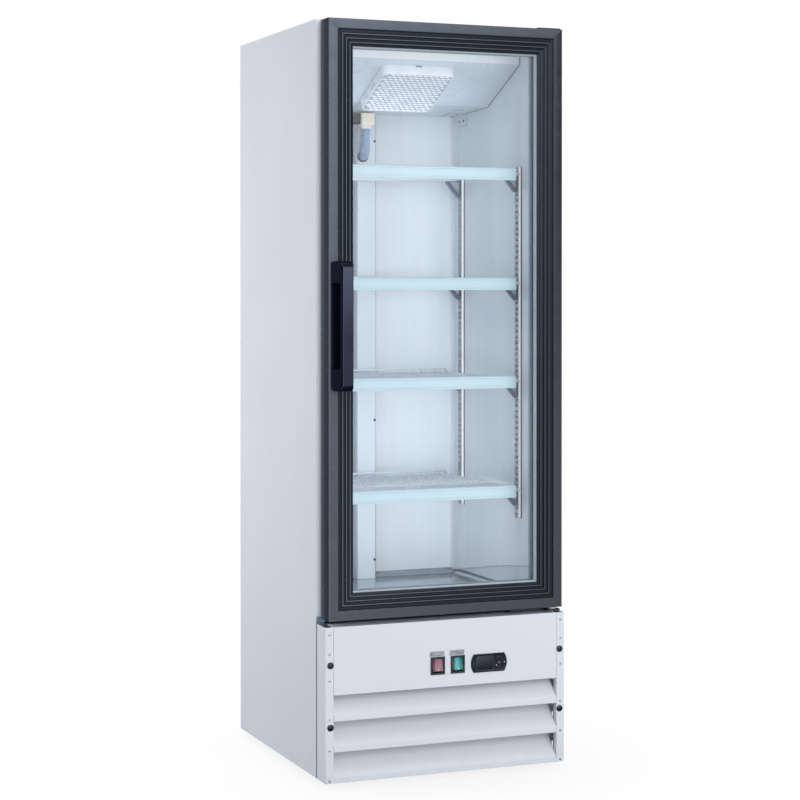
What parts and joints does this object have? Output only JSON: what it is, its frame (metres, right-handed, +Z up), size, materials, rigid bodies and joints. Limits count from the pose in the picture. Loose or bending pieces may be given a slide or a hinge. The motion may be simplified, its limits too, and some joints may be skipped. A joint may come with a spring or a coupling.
{
  "type": "reach-in refrigerator",
  "caption": "Tall narrow reach-in refrigerator with a hinged glass door, adjustable wire shelves, a sloped ceiling air cover with lamp, and a louvred machine compartment below.",
  "frame": {"origin": "floor level, centred under the bounding box", "axes": "+Z up, the door faces -Y, +X to the right of someone facing the door"},
  "size_m": [0.545, 0.6216, 1.587],
  "materials": {
    "white_paint": "light cool grey-white gloss paint, fine orange peel",
    "liner_coating": "white-coated aluminium sheet, semi-gloss",
    "foam": null,
    "galvanised": "galvanised sheet",
    "dark_screw": "dark zinc-plated screw",
    "black_plastic": "black moulded plastic",
    "red_lens": "translucent red",
    "green_lens": "translucent teal green",
    "key_rubber": "soft key",
    "lamp_diffuser": "opal white with raised prisms",
    "aluminium_fins": "bare aluminium fins",
    "condenser_fins": "painted fins",
    "fan_plastic": "black moulded plastic",
    "drain_plastic": "cream plastic and clear hose",
    "bright_zinc": "bright zinc plating",
    "coated_wire": "white epoxy-coated wire",
    "price_rail": "pale aqua extruded plastic",
    "door_profile": "slate-black extruded plastic",
    "gasket": "soft grey PVC magnetic gasket",
    "clear_glass": "clear glass pane",
    "spacer": "bright aluminium spacer bar",
    "handle_plastic": "gloss black moulded plastic",
    "hinge_steel": "dark plated steel",
    "compressor_black": "black enamelled pressed-steel housing around a dense motor",
    "copper": "copper tube",
    "foot_black": "black levelling foot"
  },
  "bodies": {
    "cabinet": {"cabinet_shell": "white_paint", "machine_rear_cover": "white_paint", "control_panel": "white_paint", "grille_post_left": "white_paint", "grille_post_right": "white_paint", "louvre_top": "white_paint", "louvre_middle": "white_paint", "louvre_bottom": "white_paint", "insulation": "foam", "inner_liner": "liner_coating", "evaporator_cover": "liner_coating", "rear_duct_cover": "liner_coating", "base_pan": "galvanised", "condenser_fan_shroud": "galvanised", "cover_screws_left": "dark_screw", "cover_screws_right": "dark_screw", "switch_bezel_red": "black_plastic", "switch_bezel_green": "black_plastic", "controller_body": "black_plastic", "lamp_diffuser": "lamp_diffuser", "evaporator_unit": "aluminium_fins", "condenser_coil": "condenser_fins", "drain_line": "drain_plastic", "hinge_bracket_bottom": "hinge_steel", "hinge_bracket_top": "hinge_steel", "compressor": "compressor_black", "discharge_line": "copper", "standard_front_left": "bright_zinc", "shelf_clips_front_left": "bright_zinc", "standard_front_right": "bright_zinc", "shelf_clips_front_right": "bright_zinc", "standard_rear_left": "bright_zinc", "shelf_clips_rear_left": "bright_zinc", "standard_rear_right": "bright_zinc", "shelf_clips_rear_right": "bright_zinc"},
    "door": {"door_frame": "door_profile", "door_gasket": "gasket", "glass_outer_pane": "clear_glass", "glass_inner_pane": "clear_glass", "glass_spacer": "spacer", "door_handle": "handle_plastic"},
    "shelf_1": {"shelf_1_wire_deck": "coated_wire", "price_rail_1": "price_rail"},
    "shelf_2": {"shelf_2_wire_deck": "coated_wire", "price_rail_2": "price_rail"},
    "shelf_3": {"shelf_3_wire_deck": "coated_wire", "price_rail_3": "price_rail"},
    "shelf_4": {"shelf_4_wire_deck": "coated_wire", "price_rail_4": "price_rail"},
    "red_rocker": {"rocker_red": "red_lens"},
    "green_rocker": {"rocker_green": "green_lens"},
    "key_up": {"controller_key_up": "key_rubber"},
    "key_set": {"controller_key_set": "key_rubber"},
    "key_down": {"controller_key_down": "key_rubber"},
    "evaporator_fan": {"evaporator_fan_blade": "fan_plastic"},
    "condenser_fan": {"condenser_fan_blade": "fan_plastic"},
    "foot_front_left_body": {"foot_front_left": "foot_black"},
    "foot_front_right_body": {"foot_front_right": "foot_black"},
    "foot_rear_left_body": {"foot_rear_left": "foot_black"},
    "foot_rear_right_body": {"foot_rear_right": "foot_black"}
  },
  "joints": [
    {"name": "door_hinge", "type": "hinge", "parent": "cabinet", "child": "door", "pos_m": [0.254, -0.2408, 0.3453], "axis": [0, 0, 1], "range_deg": [0, 110]},
    {"name": "shelf_1_lift", "type": "slide", "parent": "cabinet", "child": "shelf_1", "axis": [0, 0, 1], "range_m": [0, 0.02]},
    {"name": "shelf_2_lift", "type": "slide", "parent": "cabinet", "child": "shelf_2", "axis": [0, 0, 1], "range_m": [0, 0.02]},
    {"name": "shelf_3_lift", "type": "slide", "parent": "cabinet", "child": "shelf_3", "axis": [0, 0, 1], "range_m": [0, 0.02]},
    {"name": "shelf_4_lift", "type": "slide", "parent": "cabinet", "child": "shelf_4", "axis": [0, 0, 1], "range_m": [0, 0.02]},
    {"name": "red_rocker_tip", "type": "hinge", "parent": "cabinet", "child": "red_rocker", "pos_m": [-0.0226, -0.2578, 0.2382], "axis": [1, 0, 0], "range_deg": [0, 20]},
    {"name": "green_rocker_tip", "type": "hinge", "parent": "cabinet", "child": "green_rocker", "pos_m": [0.0232, -0.2578, 0.2382], "axis": [1, 0, 0], "range_deg": [0, 20]},
    {"name": "key_up_press", "type": "slide", "parent": "cabinet", "child": "key_up", "axis": [0, 1, 0], "range_m": [0, 0.0008]},
    {"name": "key_set_press", "type": "slide", "parent": "cabinet", "child": "key_set", "axis": [0, 1, 0], "range_m": [0, 0.0008]},
    {"name": "key_down_press", "type": "slide", "parent": "cabinet", "child": "key_down", "axis": [0, 1, 0], "range_m": [0, 0.0008]},
    {"name": "evaporator_fan_spin", "type": "hinge", "parent": "cabinet", "child": "evaporator_fan", "pos_m": [-0.155, 0.1172, 1.472], "axis": [0, 0, 1], "continuous": true},
    {"name": "condenser_fan_spin", "type": "hinge", "parent": "cabinet", "child": "condenser_fan", "pos_m": [-0.075, -0.1148, 0.164], "axis": [0, 1, 0], "continuous": true},
    {"name": "foot_front_left_turn", "type": "hinge", "parent": "cabinet", "child": "foot_front_left_body", "pos_m": [-0.225, -0.1378, 0], "axis": [0, 0, 1], "continuous": true},
    {"name": "foot_front_right_turn", "type": "hinge", "parent": "cabinet", "child": "foot_front_right_body", "pos_m": [0.225, -0.1378, 0], "axis": [0, 0, 1], "continuous": true},
    {"name": "foot_rear_left_turn", "type": "hinge", "parent": "cabinet", "child": "foot_rear_left_body", "pos_m": [-0.225, 0.2472, 0], "axis": [0, 0, 1], "continuous": true},
    {"name": "foot_rear_right_turn", "type": "hinge", "parent": "cabinet", "child": "foot_rear_right_body", "pos_m": [0.225, 0.2472, 0], "axis": [0, 0, 1], "continuous": true}
  ]
}
